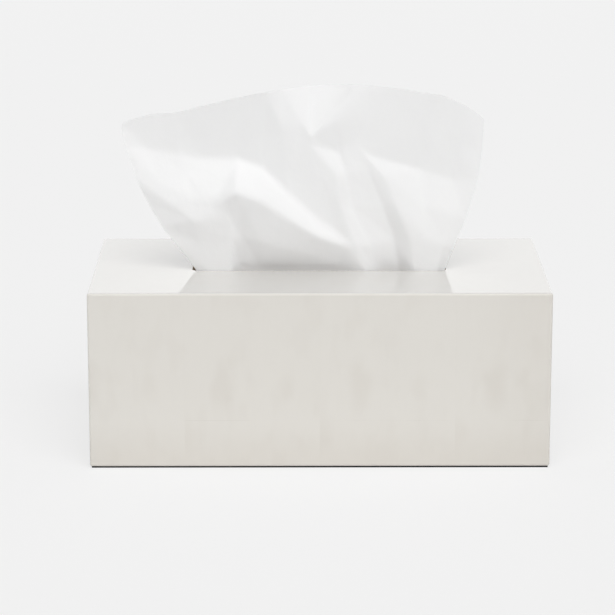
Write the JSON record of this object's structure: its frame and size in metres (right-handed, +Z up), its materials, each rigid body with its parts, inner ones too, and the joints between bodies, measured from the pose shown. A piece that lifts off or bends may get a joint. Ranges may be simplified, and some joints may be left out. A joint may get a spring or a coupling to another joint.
{
  "type": "tissue box cover with refill",
  "caption": "Long rectangular veneered tissue box cover with a slotted lid, set over a refill carton, one tissue drawn up through the slot.",
  "frame": {"origin": "centre of the footprint, on the table", "axes": "+X along the box to its right end, +Y to the back, +Z up; the front faces -Y"},
  "size_m": [0.26, 0.14, 0.2069],
  "materials": {
    "board": "matt fibreboard",
    "veneer": "polished ivory shell veneer under clear lacquer",
    "felt": "black felt",
    "carton": "plain white folding card",
    "film": "clear film",
    "tissue": "soft white two-ply tissue"
  },
  "bodies": {
    "root": {"top_board": "board", "front_board": "board", "right_board": "board", "back_board": "board", "left_board": "board", "top_veneer": "veneer", "front_veneer": "veneer", "right_veneer": "veneer", "back_veneer": "veneer", "left_veneer": "veneer", "front_felt": "felt", "right_felt": "felt", "back_felt": "felt", "left_felt": "felt", "refill_carton": "carton", "carton_film": "film", "tissue_stack": "tissue", "pulled_tissue": "tissue"}
  },
  "joints": []
}
